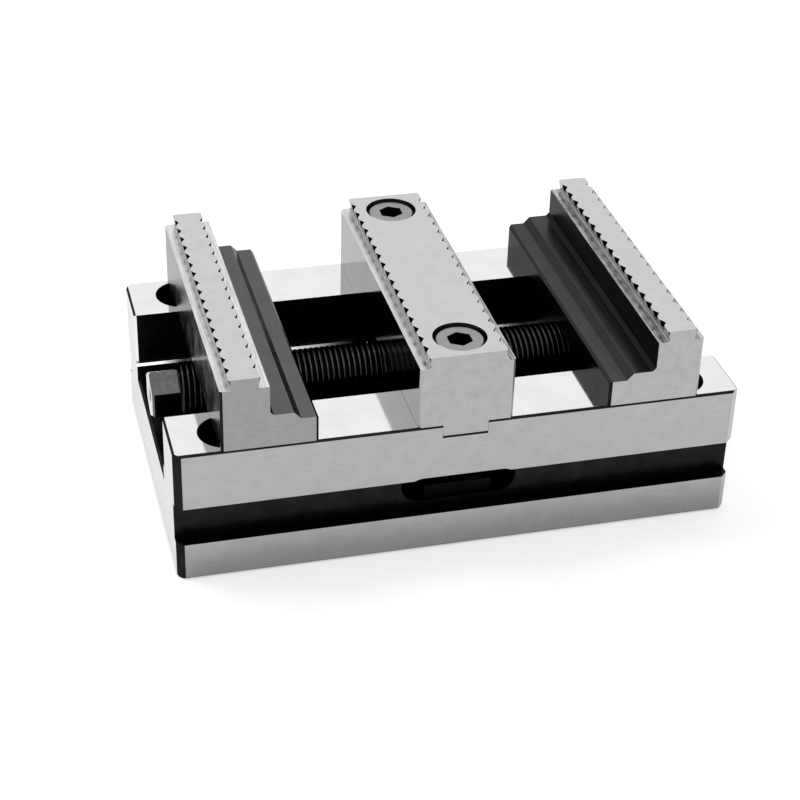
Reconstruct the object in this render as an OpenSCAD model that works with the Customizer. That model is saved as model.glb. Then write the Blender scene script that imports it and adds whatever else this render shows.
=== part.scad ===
// Self-centering vise with a fixed centre jaw, in millimetres.
// The origin is the middle of the base's underside. X runs along the screw, Y across the jaws, Z up.
// Left is -X. The two outer jaws are mirror images, and the screw draws both towards the middle.

/* [Base] */
// Length of the base along the screw
base_length = 150; // [146:1:190]
// Width of the base, which is also the length of the jaws
base_width = 90; // [90:1:110]
// Height of the base from its underside to the top of the rails
base_height = 38; // [37:0.5:46]
// Chamfer on the four upright corners
corner_chamfer = 2; // [0.5:0.1:3]
// Chamfer round the top and the underside
edge_chamfer = 0.6; // [0.2:0.1:1]
// Width of the channel between the rails
channel_width = 52.8; // [50.4:0.2:54]
// Width of the channel below its ledges
lower_channel_width = 50; // [44:0.5:50.2]
// Depth of the channel below the rails' top
channel_depth = 19.5; // [19.2:0.1:20.4]
// Depth of the channel's ledges below the rails' top
ledge_depth = 15; // [12:0.2:15.4]
// Chamfer along the inner edge of each ledge
ledge_chamfer = 0.6; // [0.3:0.1:0.8]
// Chamfer where the channel meets the base's ends
channel_chamfer = 0.7; // [0.2:0.1:1]

/* [Side grooves and windows] */
// Distance of the clamping grooves below the rails' top
groove_drop = 16.2; // [15:0.1:18]
// Height of the clamping groove
groove_height = 11; // [9:0.1:12]
// Depth of the clamping groove
groove_depth = 4; // [2:0.1:4.5]
// Length of the window at mid length
window_length = 31; // [28:0.5:40]
// Height of the window
window_height = 9.8; // [9:0.1:10.6]
// Distance of the window's middle below the channel's floor
window_drop = 1; // [0.6:0.1:2]

/* [Mounting holes] */
// Distance of the mounting holes in from the base's ends
mount_end_inset = 15; // [11:0.5:19]
// Distance of the mounting holes in from the long sides
mount_side_inset = 9; // [8.5:0.1:9.5]
// Diameter of the mounting holes
mount_hole_d = 8.5; // [6.4:0.1:9]
// Diameter of the mounting holes' counterbores
mount_head_d = 14.5; // [12:0.1:15]
// Depth of the counterbores
mount_head_depth = 12; // [8:0.5:14]
// Chamfer at the mouth of the counterbores
mount_mouth = 0.3; // [0.1:0.1:0.5]

/* [Jaws] */
// Height of the jaws above the rails
jaw_rise = 20.4; // [19.5:0.1:30]
// Height of the gripping faces above their ledges
grip_height = 3; // [2:0.1:5]
// Width of the ledge at the foot of a gripping face
jaw_ledge = 2.25; // [1.6:0.05:3]
// Width of the centre jaw
centre_jaw_width = 25; // [24:0.5:30]
// Distance of a moving jaw's outer face in from the base's end
jaw_end_gap = 12; // [11.8:0.1:16]
// Width of the tall block of a moving jaw
block_width = 12.5; // [12:0.1:14]
// Height of the foot beside the tall block
foot_high = 9.1; // [8.6:0.1:11]
// Length of the foot's high part
foot_high_length = 6; // [5:0.1:6.5]
// Height of the foot's low part
foot_low = 7.2; // [6:0.1:8.4]
// Length of the foot's low part
foot_low_length = 4.5; // [3:0.1:6]
// Length of the slope between the foot's two parts
foot_slope = 1.8; // [1:0.1:3]
// Chamfer on the jaws' upright edges and the foot's end
jaw_chamfer = 0.7; // [0.2:0.1:1]
// Chamfer in the corner between the foot and the tall block
inner_chamfer = 0.9; // [0.3:0.1:1.5]
// Spacing of the notches along a gripping edge
notch_pitch = 5; // [4:0.1:8]
// Width of a notch at the gripping face
notch_width = 3.5; // [1.5:0.1:3.6]
// Depth of a notch
notch_depth = 1.1; // [0.6:0.1:1.2]
// Height of a notch, down from the jaw's top
notch_height = 1.7; // [0.8:0.1:1.8]
// Distance that a gripping face leans out over its foot
grip_lean = 0.7; // [0.3:0.05:1]
// Leg of the small slope in the corner at that foot
grip_corner = 0.3; // [0.1:0.05:0.4]

/* [Centre jaw fastening] */
// Width of the tenon under the centre jaw
tenon_width = 12; // [10:0.5:16]
// Depth of the tenon
tenon_depth = 3.2; // [2.4:0.1:3.6]
// Distance of the centre jaw's two screws in from its ends
centre_screw_inset = 9; // [8.5:0.1:10]
// Shank diameter of the centre jaw's screws
centre_screw_d = 8; // [6:0.5:8]
// Head diameter of the centre jaw's screws
centre_head_d = 13; // [12:0.1:13.2]
// Head height of the centre jaw's screws
centre_head_h = 8; // [6:0.5:9]
// Width across the flats of their sockets
centre_socket = 6; // [5:0.5:7]
// Depth of the heads below the jaw's top
centre_head_sink = 0.7; // [0.3:0.1:2]
// Radial clearance round the heads
centre_head_gap = 0.5; // [0.2:0.1:0.8]
// Depth of the thread in the rails
centre_thread_depth = 10.5; // [9:0.1:11]

/* [Screw] */
// Height of the screw's axis above the channel's floor
axis_rise = 10; // [9.6:0.1:10.4]
// Outer diameter of the thread
thread_d = 16; // [15.2:0.1:16.6]
// Pitch of the thread
thread_pitch = 1.5; // [1:0.25:3]
// Depth of the thread
thread_depth = 0.9; // [0.5:0.1:1.2]
// Width across the flats of the drive hexagons
hex_flats = 12; // [11:0.1:13]
// Length of the drive hexagons
hex_length = 7.6; // [6:0.2:8]
// Chamfer round the ends of the drive hexagons
hex_chamfer = 0.5; // [0.2:0.1:0.8]
// Distance of the screw's ends inside the base's ends
screw_recess = 0.2; // [0.1:0.1:2]
// Length of the smooth middle of the screw, neck included
shank_length = 22.8; // [18:0.2:26]
// Depth of the smooth middle below the thread's outer diameter
shank_step = 0.1; // [0.05:0.05:0.6]
// Diameter of the neck that runs in the yoke
neck_d = 11; // [10:0.1:11.4]
// Width of the neck
neck_width = 8; // [7.4:0.1:10]
// Chamfer at the thread's outer ends
thread_chamfer = 0.4; // [0.3:0.1:1]
// Diameter of the centre holes in the screw's ends
centre_hole_d = 5.6; // [3:0.1:6]

/* [Slide nuts] */
// Length of a slide nut along the screw
slide_length = 19.3; // [19:0.1:21]
// Distance from a moving jaw's outer face in to its slide nut
slide_setback = 2.7; // [2:0.1:3]
// Clearance under a slide nut
slide_floor_gap = 0.4; // [0.2:0.1:0.6]
// Chamfer on a slide nut's lower edges
slide_chamfer = 0.5; // [0.2:0.1:0.8]
// Spacing of the screws that hold a jaw to its slide nut
jaw_screw_spacing = 34; // [32:0.5:38]
// Distance of those screws in from the slide nut's outer face
jaw_screw_inset = 6.4; // [6.2:0.1:6.8]
// Shank diameter of those screws
jaw_screw_d = 6; // [5:0.5:6]
// Head diameter of those screws
jaw_head_d = 10; // [9:0.1:10.2]
// Head height of those screws
jaw_head_h = 6; // [5:0.5:7]
// Width across the flats of their sockets
jaw_socket = 5; // [4:0.5:5]
// Depth of their thread in the jaw
jaw_thread_depth = 12; // [9:0.5:13]
// Diameter of the dowels between a jaw and its slide nut
jaw_dowel_d = 5; // [4:0.5:5]
// Length of those dowels
jaw_dowel_length = 14; // [12:0.5:14]
// Depth of those dowels in the jaw
jaw_dowel_depth = 6; // [4:0.5:6]
// Spacing of those dowels
jaw_dowel_spacing = 38; // [34:0.5:40]
// Distance of the dowels in from the slide nut's inner face
jaw_dowel_inset = 6; // [5.5:0.1:6.5]

/* [Centre bearing] */
// Width of the yoke's foot along the screw
foot_width = 18; // [17.4:0.1:19]
// Distance of the foot's ends inside the clamping grooves
foot_inset = 1; // [0.3:0.1:3]
// Thickness of the yoke's foot
foot_thickness = 4; // [3.6:0.1:4.4]
// Wall of the cap's arch beside the neck
arch_wall = 1.65; // [1.2:0.05:3]
// Height of the arch's top below the rails' top
arch_drop = 1; // [0.5:0.1:1.6]
// Thickness of the cap's ears
ear_thickness = 5; // [4:0.1:6]
// Thickness of a thrust washer
washer_thickness = 1; // [0.8:0.05:1]
// Axial play of a thrust washer
washer_play = 0.1; // [0.04:0.01:0.2]
// Distance of the washers' edge inside the screw's shoulders
washer_step = 0.2; // [0.1:0.1:0.6]
// Gap between the two halves of a thrust washer
washer_split = 0.2; // [0.1:0.1:0.6]
// Clearance round the heads of the cap's screws
cap_head_gap = 0.25; // [0.1:0.05:0.6]
// Shank diameter of the cap's screws
cap_screw_d = 3; // [2:0.1:3]
// Head diameter of the cap's screws
cap_head_d = 5.5; // [4:0.1:5.6]
// Head height of the cap's screws
cap_head_h = 3; // [2:0.1:3.2]
// Width across the flats of their sockets
cap_socket = 2.5; // [2:0.1:2.5]
// Depth of their thread in the yoke
cap_thread_depth = 8; // [6:0.5:9]
// Distance of the foot's clamp screws in from the foot's ends
clamp_inset = 4.4; // [4:0.1:6]
// Distance of the foot's clamp screws in from the foot's long edges
clamp_edge = 4.2; // [4:0.1:5]
// Shank diameter of the clamp screws
clamp_screw_d = 4; // [3:0.1:4]
// Head diameter of the clamp screws
clamp_head_d = 7; // [6:0.1:7]
// Head height of the clamp screws
clamp_head_h = 2.4; // [2:0.1:2.6]
// Width across the flats of their sockets
clamp_socket = 2.5; // [2:0.1:3]
// Depth of the foot under the clamp screws' heads
clamp_seat = 1.4; // [1:0.1:1.6]
// Thickness of the base left under the clamp screws' threaded holes
clamp_hole_floor = 5.4; // [4:0.1:6]
// Diameter of the foot's dowels
yoke_dowel_d = 4; // [3:0.1:4]
// Distance of the foot's dowels in from the foot's ends
yoke_dowel_inset = 11; // [8:0.1:14]
// Thickness of the base left under the holes for the foot's dowels
dowel_hole_floor = 6; // [4:0.1:7]

/* [Clearances] */
// Radial running clearance of the screw in the slide nuts and the yoke
running_gap = 0.05; // [0.02:0.01:0.09]
// Clearance between a slide nut and the channel
slide_gap = 0.05; // [0.02:0.01:0.15]
// Clearance of a seated piece in its slot
seat_gap = 0.02; // [0.01:0.01:0.05]
// Clearance of a screw or dowel in the hole that holds it
hold_gap = 0.03; // [0.02:0.01:0.08]
// Radial clearance of a screw's shank or head in its free hole
free_gap = 0.3; // [0.15:0.05:0.4]
// Space left below the end of a screw or dowel
end_gap = 0.6; // [0.3:0.1:1]

/* [Hidden] */
$fn = 96;

// Overrun of every cut past the face it opens on
cut = 1;
// Flank and crest of the thread as shares of its pitch
crest_share = 0.2;
root_share = 0.6;
// Chamfers of a screw's head and of a tip, as shares of the radius there
head_edge_share = 0.08;
tip_edge_share = 0.16;
// Depth of a hexagon socket, as a share of the head's height
socket_depth_share = 0.55;
// Depth of a centre hole, as a share of its diameter
centre_hole_share = 0.7;

ground_steel = "#b9babb";
dark_steel = "#2c2d2f";
black_steel = "#1b1b1d";
screw_steel = "#3a3b3d";
dowel_steel = "#8f9193";
bronze = "#9c7a44";

half_length = base_length / 2;
half_width = base_width / 2;
floor_z = base_height - channel_depth;
ledge_z = base_height - ledge_depth;
groove_low = base_height - groove_drop - groove_height;
window_middle = floor_z - window_drop;
window_low = window_middle - window_height / 2;
axis_z = floor_z + axis_rise;
jaw_top = base_height + jaw_rise;
jaw_ledge_z = jaw_top - grip_height;
centre_screw_y = half_width - centre_screw_inset;

// Places of the left jaw, as distances from the middle
foot_length_x = foot_high_length + foot_slope + foot_low_length;
block_out = half_length - jaw_end_gap;
slide_out = block_out - slide_setback;
slide_in = slide_out - slide_length;
jaw_screw_x = slide_out - jaw_screw_inset;
jaw_dowel_x = slide_in + jaw_dowel_inset;

// Places along the screw
screw_end = half_length - screw_recess;
thread_out = screw_end - hex_length;
thread_in = shank_length / 2;
thread_turns = floor((thread_out - thread_in - thread_chamfer) / thread_pitch);
shank_d = thread_d - 2 * shank_step;

// The bearing round the screw's neck
neck_bore_d = neck_d + 2 * running_gap;
yoke_width = neck_width - 2 * (washer_thickness + washer_play);
washer_middle = (neck_width - washer_thickness - washer_play) / 2;
washer_d = shank_d - 2 * washer_step;
arch_length = neck_bore_d + 2 * arch_wall;
arch_top = base_height - arch_drop;
ear_top = axis_z + ear_thickness;
ear_length = cap_head_d + 2 * cap_head_gap;
yoke_length = arch_length + 2 * ear_length;
cap_screw_spacing = arch_length + ear_length;
foot_length = base_width - 2 * (groove_depth + foot_inset);
clamp_reach = foot_length / 2 - clamp_inset;
clamp_offset = foot_width / 2 - clamp_edge;
yoke_dowel_reach = foot_length / 2 - yoke_dowel_inset;

// A square on its corner, which cuts a chamfer of the given leg where its middle follows an edge
module edge_outline(leg) {
    polygon([[leg, 0], [0, leg], [-leg, 0], [0, -leg]]);
}

// A rectangle in plan with chamfered corners
module chamfered_plan(length, width, leg) {
    x = length / 2;
    y = width / 2;
    polygon([
        [leg - x, -y], [x - leg, -y], [x, leg - y], [x, y - leg],
        [x - leg, y], [leg - x, y], [-x, y - leg], [-x, leg - y]
    ]);
}

// A bar along Y with the given outline in X and Z
module along_y(length) {
    translate([0, length / 2, 0])
        rotate([90, 0, 0])
            linear_extrude(length)
                children();
}

// A bar along X with the given outline in Y and Z
module along_x(length) {
    translate([-length / 2, 0, 0])
        rotate([90, 0, 90])
            linear_extrude(length)
                children();
}

// A round bar along X, centred on the screw's axis
module round_x(diameter, length) {
    translate([0, 0, axis_z])
        rotate([0, 90, 0])
            cylinder(d = diameter, h = length, center = true);
}

// A hexagon bar with flats that face front and back when its axis is along X
module hex_bar(flats, length) {
    cylinder(d = flats / cos(30), h = length, $fn = 6);
}

// A socket-head screw that stands on its tip, with the underside of its head at the origin
module socket_screw(shank_d, shank_length, head_d, head_h, socket) {
    edge = head_d / 2 * head_edge_share;
    tip = shank_d / 2 * tip_edge_share;
    difference() {
        union() {
            translate([0, 0, -shank_length])
                cylinder(d1 = shank_d - 2 * tip, d2 = shank_d, h = tip);
            translate([0, 0, tip - shank_length])
                cylinder(d = shank_d, h = shank_length - tip);
            cylinder(d = head_d, h = head_h - edge);
            translate([0, 0, head_h - edge])
                cylinder(d1 = head_d, d2 = head_d - 2 * edge, h = edge);
        }
        translate([0, 0, head_h * (1 - socket_depth_share)])
            hex_bar(socket, head_h);
    }
}

// A dowel with chamfered ends that stands on the origin
module dowel(diameter, length) {
    edge = diameter / 2 * tip_edge_share;
    cylinder(d1 = diameter - 2 * edge, d2 = diameter, h = edge);
    translate([0, 0, edge])
        cylinder(d = diameter, h = length - 2 * edge);
    translate([0, 0, length - edge])
        cylinder(d1 = diameter, d2 = diameter - 2 * edge, h = edge);
}

// Two copies across the base, at plus and minus the given distance
module front_and_back(reach) {
    for (side = [-1, 1])
        translate([0, side * reach, 0])
            children();
}

// The base's block with its upright corners and outer edges chamfered
module base_block() {
    intersection() {
        linear_extrude(base_height)
            chamfered_plan(base_length, base_width, corner_chamfer);
        along_y(base_width)
            translate([0, base_height / 2])
                chamfered_plan(base_length, base_height, edge_chamfer);
        along_x(base_length)
            translate([0, base_height / 2])
                chamfered_plan(base_width, base_height, edge_chamfer);
    }
}

// The stepped channel from end to end, with its ends chamfered
module channel_cut() {
    upper = ledge_depth + cut;
    lower = channel_depth - ledge_depth + cut;
    translate([-half_length - cut, -channel_width / 2, ledge_z])
        cube([base_length + 2 * cut, channel_width, upper]);
    translate([-half_length - cut, -lower_channel_width / 2, floor_z])
        cube([base_length + 2 * cut, lower_channel_width, lower]);
    for (end = [-half_length, half_length]) {
        front_and_back(channel_width / 2)
            translate([end, 0, ledge_z])
                linear_extrude(upper)
                    edge_outline(channel_chamfer);
        translate([end, 0, floor_z])
            along_y(lower_channel_width)
                edge_outline(channel_chamfer);
    }
    front_and_back(lower_channel_width / 2)
        translate([0, 0, ledge_z])
            along_x(base_length + 2 * cut)
                edge_outline(ledge_chamfer);
}

// The clamping groove along one long side
module side_groove_cut() {
    translate([-half_length - cut, half_width - groove_depth, groove_low])
        cube([base_length + 2 * cut, groove_depth + cut, groove_height]);
}

// The window with round ends, which runs through both sides
module window_cut() {
    straight = window_length - window_height;
    translate([0, 0, window_middle]) {
        for (end = [-straight / 2, straight / 2])
            translate([end, 0, 0])
                rotate([90, 0, 0])
                    cylinder(d = window_height, h = base_width + 2 * cut, center = true);
        cube([straight, base_width + 2 * cut, window_height], center = true);
    }
}

module mounting_hole() {
    head_r = mount_head_d / 2;
    translate([0, 0, -cut])
        cylinder(d = mount_hole_d, h = base_height + 2 * cut);
    translate([0, 0, base_height - mount_head_depth])
        cylinder(r = head_r, h = mount_head_depth + cut);
    translate([0, 0, base_height - mount_mouth])
        cylinder(r1 = head_r, r2 = head_r + mount_mouth + cut, h = mount_mouth + cut);
}

module base_body() {
    slot_floor = base_height - tenon_depth - seat_gap;
    mount_x = half_length - mount_end_inset;
    color(ground_steel)
        difference() {
            base_block();
            channel_cut();
            side_groove_cut();
            mirror([0, 1, 0])
                side_groove_cut();
            window_cut();
            for (x = [-mount_x, mount_x])
                translate([x, 0, 0])
                    front_and_back(half_width - mount_side_inset)
                        mounting_hole();
            // slot across the rails for the centre jaw's tenon
            translate([-tenon_width / 2 - seat_gap, -half_width - cut, slot_floor])
                cube([tenon_width + 2 * seat_gap, base_width + 2 * cut, tenon_depth + cut]);
            front_and_back(half_width)
                translate([0, 0, slot_floor])
                    along_x(tenon_width + 2 * seat_gap)
                        edge_outline(edge_chamfer);
            front_and_back(centre_screw_y)
                translate([0, 0, slot_floor - centre_thread_depth])
                    cylinder(r = centre_screw_d / 2 + hold_gap, h = centre_thread_depth + cut);
            // threaded holes and dowel holes under the yoke's foot
            for (side = [-1, 1]) {
                translate([-side * clamp_offset, side * clamp_reach, clamp_hole_floor])
                    cylinder(r = clamp_screw_d / 2 + hold_gap, h = window_low - clamp_hole_floor + cut);
                translate([side * clamp_offset, side * yoke_dowel_reach, dowel_hole_floor])
                    cylinder(r = yoke_dowel_d / 2 + hold_gap, h = window_low - dowel_hole_floor + cut);
            }
        }
}

// Points of the notches along one gripping edge of a jaw's top
function notch_row(edge, side) =
    let (count = floor((half_width - notch_width) / notch_pitch))
    [for (i = [-count : count], step = [-1 : 1])
        [side * (edge - (step == 0 ? notch_depth : 0)), side * (i * notch_pitch + step * notch_width / 2)]];

// Outline of a jaw's top in plan, with its notches
module jaw_top_outline(width) {
    edge = width / 2;
    polygon(concat(
        [[edge - jaw_chamfer / 2, -half_width], [edge, jaw_chamfer / 2 - half_width]],
        notch_row(edge, 1),
        [[edge, half_width - jaw_chamfer / 2], [edge - jaw_chamfer / 2, half_width]],
        [[jaw_chamfer / 2 - edge, half_width], [-edge, half_width - jaw_chamfer / 2]],
        notch_row(edge, -1),
        [[-edge, jaw_chamfer / 2 - half_width], [jaw_chamfer / 2 - edge, -half_width]]
    ));
}

// Outline of a jaw's gripping top in X and Z: both faces lean out over their feet
module grip_outline(width) {
    edge = width / 2;
    foot = edge - grip_lean;
    corner = foot + grip_lean * grip_corner / grip_height;
    low_z = jaw_ledge_z - grip_corner;
    corner_z = jaw_ledge_z + grip_corner;
    polygon([
        [-foot - grip_corner, low_z], [foot + grip_corner, low_z],
        [foot + grip_corner, jaw_ledge_z], [corner, corner_z],
        [edge, jaw_top], [-edge, jaw_top],
        [-corner, corner_z], [-foot - grip_corner, jaw_ledge_z]
    ]);
}

// The gripping top on a block of the given width, sunk into the block by the corner's leg
module jaw_head(width) {
    top_width = width - 2 * jaw_ledge;
    intersection() {
        along_y(base_width)
            grip_outline(top_width);
        union() {
            linear_extrude(jaw_top - notch_height)
                chamfered_plan(top_width, base_width, jaw_chamfer / 2);
            linear_extrude(jaw_top)
                jaw_top_outline(top_width);
        }
    }
}

module centre_jaw() {
    head_seat = jaw_top - centre_head_sink - centre_head_h;
    head_hole_r = centre_head_d / 2 + centre_head_gap;
    rail_width = half_width - channel_width / 2;
    color(ground_steel)
        difference() {
            union() {
                translate([0, 0, base_height])
                    linear_extrude(jaw_ledge_z - base_height)
                        chamfered_plan(centre_jaw_width, base_width, jaw_chamfer);
                jaw_head(centre_jaw_width);
                front_and_back(half_width - rail_width / 2)
                    translate([-tenon_width / 2, -rail_width / 2, base_height - tenon_depth])
                        cube([tenon_width, rail_width, tenon_depth + cut]);
            }
            front_and_back(centre_screw_y) {
                translate([0, 0, base_height - tenon_depth - cut])
                    cylinder(r = centre_screw_d / 2 + free_gap, h = jaw_rise + tenon_depth + 2 * cut);
                translate([0, 0, head_seat])
                    cylinder(r = head_hole_r, h = centre_head_h + centre_head_sink + cut);
            }
        }
}

module centre_jaw_screws() {
    head_seat = jaw_top - centre_head_sink - centre_head_h;
    tip = base_height - tenon_depth - seat_gap - centre_thread_depth + end_gap;
    color(black_steel)
        front_and_back(centre_screw_y)
            translate([0, 0, head_seat])
                rotate([0, 0, 90])
                    socket_screw(centre_screw_d, head_seat - tip, centre_head_d, centre_head_h, centre_socket);
}

// Outline of a moving jaw in X and Z, with its foot towards plus X and its block's outer face at zero
module jaw_outline() {
    foot_z = base_height + foot_high;
    low_z = base_height + foot_low;
    reach = block_width + foot_length_x;
    polygon([
        [0, base_height],
        [reach, base_height],
        [reach, low_z - jaw_chamfer],
        [reach - jaw_chamfer, low_z],
        [reach - foot_low_length, low_z],
        [block_width + foot_high_length, foot_z],
        [block_width + inner_chamfer, foot_z],
        [block_width, foot_z + inner_chamfer],
        [block_width, jaw_ledge_z],
        [0, jaw_ledge_z]
    ]);
}

// The left jaw: its outer face is at -block_out
module moving_jaw() {
    reach = block_width + foot_length_x;
    difference() {
        union() {
            intersection() {
                translate([-block_out, 0, 0])
                    along_y(base_width)
                        jaw_outline();
                translate([reach / 2 - block_out, 0, 0])
                    linear_extrude(jaw_top)
                        chamfered_plan(reach, base_width, jaw_chamfer);
            }
            translate([block_width / 2 - block_out, 0, 0])
                jaw_head(block_width);
        }
        translate([-jaw_screw_x, 0, base_height - cut])
            front_and_back(jaw_screw_spacing / 2)
                cylinder(r = jaw_screw_d / 2 + hold_gap, h = jaw_thread_depth + cut);
        translate([-jaw_dowel_x, 0, base_height - cut])
            front_and_back(jaw_dowel_spacing / 2)
                cylinder(r = jaw_dowel_d / 2 + hold_gap, h = jaw_dowel_depth + end_gap + cut);
    }
}

module left_jaw() {
    color(ground_steel)
        moving_jaw();
}

module right_jaw() {
    color(ground_steel)
        mirror([1, 0, 0])
            moving_jaw();
}

// Outline of a slide nut in Y and Z, which follows the channel
module slide_outline() {
    upper = channel_width / 2 - slide_gap;
    lower = lower_channel_width / 2 - slide_gap;
    step_z = ledge_z + slide_gap;
    low_z = floor_z + slide_floor_gap;
    polygon([
        [slide_chamfer - lower, low_z], [lower - slide_chamfer, low_z],
        [lower, low_z + slide_chamfer], [lower, step_z],
        [upper, step_z], [upper, base_height],
        [-upper, base_height], [-upper, step_z],
        [-lower, step_z], [-lower, low_z + slide_chamfer]
    ]);
}

// The left slide nut
module slide_nut() {
    low_z = floor_z + slide_floor_gap;
    head_depth = jaw_head_h + end_gap;
    difference() {
        translate([slide_length / 2 - slide_out, 0, 0])
            along_x(slide_length)
                slide_outline();
        translate([-slide_out, 0, 0])
            round_x(thread_d + 2 * running_gap, 2 * (slide_length + cut));
        translate([-jaw_screw_x, 0, low_z - cut])
            front_and_back(jaw_screw_spacing / 2) {
                cylinder(r = jaw_screw_d / 2 + free_gap, h = base_height);
                cylinder(r = jaw_head_d / 2 + free_gap, h = head_depth + cut);
            }
        translate([-jaw_dowel_x, 0, base_height - jaw_dowel_length + jaw_dowel_depth - end_gap])
            front_and_back(jaw_dowel_spacing / 2)
                cylinder(r = jaw_dowel_d / 2 + hold_gap, h = jaw_dowel_length);
    }
}

module left_slide_nut() {
    color(dark_steel)
        slide_nut();
}

module right_slide_nut() {
    color(dark_steel)
        mirror([1, 0, 0])
            slide_nut();
}

// The left jaw's screws, driven up from below
module jaw_screw_pair() {
    seat = floor_z + slide_floor_gap + jaw_head_h + end_gap;
    shank = base_height + jaw_thread_depth - end_gap - seat;
    translate([-jaw_screw_x, 0, seat])
        front_and_back(jaw_screw_spacing / 2)
            mirror([0, 0, 1])
                socket_screw(jaw_screw_d, shank, jaw_head_d, jaw_head_h, jaw_socket);
}

module left_jaw_screws() {
    color(black_steel)
        jaw_screw_pair();
}

module right_jaw_screws() {
    color(black_steel)
        mirror([1, 0, 0])
            jaw_screw_pair();
}

// The left jaw's dowels
module jaw_dowel_pair() {
    translate([-jaw_dowel_x, 0, base_height + jaw_dowel_depth - jaw_dowel_length])
        front_and_back(jaw_dowel_spacing / 2)
            dowel(jaw_dowel_d, jaw_dowel_length);
}

module left_jaw_dowels() {
    color(dowel_steel)
        jaw_dowel_pair();
}

module right_jaw_dowels() {
    color(dowel_steel)
        mirror([1, 0, 0])
            jaw_dowel_pair();
}

// Half of the screw's turned outline, from the middle out: radius and distance along the axis
function thread_points() =
    [for (i = [0 : thread_turns - 1], step = [0 : 2])
        [thread_d / 2 - (step == 2 ? thread_depth : 0),
         thread_in + thread_pitch * (i + [0, crest_share, root_share][step])]];

// The thread's grooves are rings at the thread's pitch
module screw_half() {
    thread_r = thread_d / 2;
    rotate_extrude()
        polygon(concat(
            [[0, 0], [neck_d / 2, 0], [neck_d / 2, neck_width / 2], [shank_d / 2, neck_width / 2],
             [shank_d / 2, thread_in]],
            thread_points(),
            [[thread_r, thread_in + thread_turns * thread_pitch], [thread_r, thread_out - thread_chamfer],
             [thread_r - thread_chamfer, thread_out], [0, thread_out]]
        ));
}

// One drive hexagon, chamfered round its end, with a centre hole
module drive_hexagon() {
    end_flats = hex_flats - 2 * hex_chamfer;
    difference() {
        union() {
            translate([0, 0, thread_out - thread_chamfer])
                hex_bar(hex_flats, hex_length + thread_chamfer - hex_chamfer);
            translate([0, 0, screw_end - hex_chamfer])
                cylinder(d1 = hex_flats / cos(30), d2 = end_flats / cos(30), h = hex_chamfer, $fn = 6);
        }
        translate([0, 0, screw_end - centre_hole_d * centre_hole_share])
            cylinder(d1 = 0, d2 = centre_hole_d, h = centre_hole_d * centre_hole_share);
        translate([0, 0, screw_end])
            cylinder(d = centre_hole_d, h = cut);
    }
}

module lead_screw() {
    color(screw_steel)
        translate([0, 0, axis_z])
            for (turn = [-90, 90])
                rotate([0, turn, 0]) {
                    screw_half();
                    drive_hexagon();
                }
}

module bearing_yoke() {
    color(black_steel)
        difference() {
            union() {
                translate([-foot_width / 2, -foot_length / 2, window_low])
                    cube([foot_width, foot_length, foot_thickness]);
                translate([-yoke_width / 2, -yoke_length / 2, window_low])
                    cube([yoke_width, yoke_length, axis_z - window_low]);
            }
            round_x(neck_bore_d, 2 * neck_width);
            front_and_back(cap_screw_spacing / 2)
                translate([0, 0, axis_z - cap_thread_depth])
                    cylinder(r = cap_screw_d / 2 + hold_gap, h = cap_thread_depth + cut);
            for (side = [-1, 1]) {
                translate([-side * clamp_offset, side * clamp_reach, 0]) {
                    translate([0, 0, window_low - cut])
                        cylinder(r = clamp_screw_d / 2 + free_gap, h = foot_thickness + 2 * cut);
                    translate([0, 0, window_low + clamp_seat])
                        cylinder(r = clamp_head_d / 2 + free_gap, h = foot_thickness + cut);
                }
                translate([side * clamp_offset, side * yoke_dowel_reach, window_low - cut])
                    cylinder(r = yoke_dowel_d / 2 + hold_gap, h = foot_thickness + 2 * cut);
            }
        }
}

module bearing_cap() {
    color(black_steel)
        difference() {
            union() {
                translate([-yoke_width / 2, -yoke_length / 2, axis_z])
                    cube([yoke_width, yoke_length, ear_thickness]);
                translate([-yoke_width / 2, -arch_length / 2, axis_z])
                    cube([yoke_width, arch_length, arch_top - axis_z]);
            }
            round_x(neck_bore_d, 2 * neck_width);
            front_and_back(cap_screw_spacing / 2)
                translate([0, 0, axis_z - cut])
                    cylinder(r = cap_screw_d / 2 + hold_gap, h = ear_thickness + 2 * cut);
        }
}

module bearing_cap_screws() {
    shank = ear_thickness + cap_thread_depth - end_gap;
    color(screw_steel)
        front_and_back(cap_screw_spacing / 2)
            translate([0, 0, ear_top])
                socket_screw(cap_screw_d, shank, cap_head_d, cap_head_h, cap_socket);
}

// The two clamp screws stand at opposite corners of the yoke's foot
module yoke_clamp_screws() {
    shank = window_low + clamp_seat - clamp_hole_floor - end_gap;
    color(dowel_steel)
        for (side = [-1, 1])
            translate([-side * clamp_offset, side * clamp_reach, window_low + clamp_seat])
                socket_screw(clamp_screw_d, shank, clamp_head_d, clamp_head_h, clamp_socket);
}

module yoke_dowels() {
    low_z = dowel_hole_floor + end_gap;
    color(dowel_steel)
        for (side = [-1, 1])
            translate([side * clamp_offset, side * yoke_dowel_reach, low_z])
                dowel(yoke_dowel_d, window_low + foot_thickness - low_z);
}

// One split washer on the left of the yoke
module washer_halves() {
    difference() {
        translate([-washer_middle, 0, 0])
            round_x(washer_d, washer_thickness);
        round_x(neck_bore_d, 2 * neck_width);
        translate([0, 0, axis_z])
            cube([2 * neck_width, washer_d + 2 * cut, washer_split], center = true);
    }
}

module left_thrust_washers() {
    color(bronze)
        washer_halves();
}

module right_thrust_washers() {
    color(bronze)
        mirror([1, 0, 0])
            washer_halves();
}

base_body();
centre_jaw();
centre_jaw_screws();
left_jaw();
right_jaw();
left_slide_nut();
right_slide_nut();
left_jaw_screws();
right_jaw_screws();
left_jaw_dowels();
right_jaw_dowels();
lead_screw();
bearing_yoke();
bearing_cap();
bearing_cap_screws();
yoke_clamp_screws();
yoke_dowels();
left_thrust_washers();
right_thrust_washers();
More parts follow.
